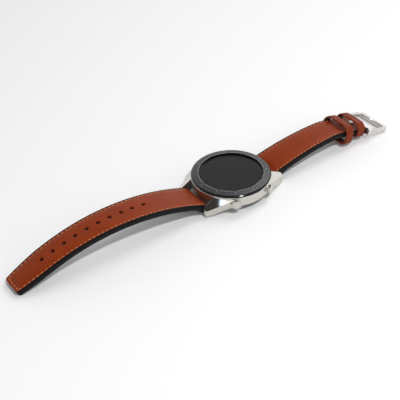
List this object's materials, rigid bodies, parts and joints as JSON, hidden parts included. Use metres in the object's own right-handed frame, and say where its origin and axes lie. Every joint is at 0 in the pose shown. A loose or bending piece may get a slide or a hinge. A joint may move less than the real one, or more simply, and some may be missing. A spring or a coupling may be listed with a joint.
{
  "type": "smartwatch",
  "caption": "Round smartwatch in a steel case with push buttons and a two-piece lined leather strap with pin buckle, laid open face up.",
  "frame": {"origin": "centre of the resting face on the case back", "axes": "+X towards 3 o'clock and the buttons, +Y towards 12 o'clock and the buckle, +Z out through the display"},
  "size_m": [0.0464, 0.2553, 0.0184],
  "materials": {
    "steel": "satin",
    "polished_steel": "polished",
    "bezel_black": "satin black coating with engraved ring",
    "glass": "clear cover glass",
    "display": "dark display, switched off",
    "black_plastic": "matte",
    "frame_plastic": "glass-filled, matte",
    "adhesive": "foam tape",
    "flex": "polyimide film",
    "board": "solder mask",
    "chip": "moulded",
    "shield": "tin plated",
    "cell": "foil pouch",
    "led": "clear package",
    "gold": "gold plated",
    "rubber_black": "matte",
    "seal_red": "silicone",
    "leather_brown": "smooth saddle brown"
  },
  "bodies": {
    "case": {"case_frame": "steel", "bezel": "bezel_black", "cover_glass": "glass", "glass_gasket": "adhesive", "display_panel": "display", "display_flex": "flex", "inner_frame": "frame_plastic", "antenna": "gold", "main_board": "board", "board_chips": "chip", "shield_can": "shield", "battery": "cell", "battery_flex": "flex", "vibration_motor": "shield", "sensor_board": "board", "sensor_leds": "led", "sensor_flex": "flex", "sensor_window": "glass", "back_cover": "black_plastic", "back_gasket": "rubber_black", "back_screws": "polished_steel", "charging_pins": "gold", "switch_upper": "shield", "switch_lower": "shield", "switch_flex": "flex"},
    "button_upper": {"button_upper": "steel", "button_seal_upper": "seal_red", "button_clip_upper": "shield"},
    "button_lower": {"button_lower": "steel", "button_seal_lower": "seal_red", "button_clip_lower": "shield"},
    "strap_long": {"strap_long_leather": "leather_brown", "strap_long_lining": "rubber_black", "spring_bar_long": "polished_steel"},
    "release_long": {"release_pin_long": "polished_steel"},
    "strap_short": {"strap_short_leather": "leather_brown", "strap_short_lining": "rubber_black", "spring_bar_short": "polished_steel", "keeper_fixed": "leather_brown"},
    "release_short": {"release_pin_short": "polished_steel"},
    "keeper_free": {"keeper_free": "leather_brown"},
    "buckle": {"buckle_frame": "steel", "buckle_bar": "polished_steel"},
    "tongue": {"buckle_tongue": "polished_steel"}
  },
  "joints": [
    {"name": "button_upper_press", "type": "slide", "parent": "case", "child": "button_upper", "axis": [-0.866, -0.5, 0], "range_m": [0, 0.0004], "stiffness_N_per_m": 4000, "springref_m": -0.0001},
    {"name": "button_lower_press", "type": "slide", "parent": "case", "child": "button_lower", "axis": [-0.866, 0.5, 0], "range_m": [0, 0.0004], "stiffness_N_per_m": 4000, "springref_m": -0.0001},
    {"name": "strap_long_pivot", "type": "hinge", "parent": "case", "child": "strap_long", "pos_m": [0, -0.0256, 0.0036], "axis": [-1, 0, 0], "range_deg": [-75, 40]},
    {"name": "strap_short_pivot", "type": "hinge", "parent": "case", "child": "strap_short", "pos_m": [0, 0.0256, 0.0036], "axis": [1, 0, 0], "range_deg": [-75, 40]},
    {"name": "release_long_pull", "type": "slide", "parent": "strap_long", "child": "release_long", "axis": [-1, 0, 0], "range_m": [0, 0.0014], "stiffness_N_per_m": 400, "springref_m": -0.0015},
    {"name": "release_short_pull", "type": "slide", "parent": "strap_short", "child": "release_short", "axis": [-1, 0, 0], "range_m": [0, 0.0014], "stiffness_N_per_m": 400, "springref_m": -0.0015},
    {"name": "keeper_free_slide", "type": "slide", "parent": "strap_short", "child": "keeper_free", "axis": [0, -0.9724, 0.2334], "range_m": [-0.0043, 0.012]},
    {"name": "buckle_pivot", "type": "hinge", "parent": "strap_short", "child": "buckle", "pos_m": [0, 0.09907, 0.0043], "axis": [1, 0, 0], "range_deg": [-80, 65]},
    {"name": "tongue_pivot", "type": "hinge", "parent": "strap_short", "child": "tongue", "pos_m": [0, 0.09907, 0.0043], "axis": [-1, 0, 0], "range_deg": [0, 3.8]}
  ]
}
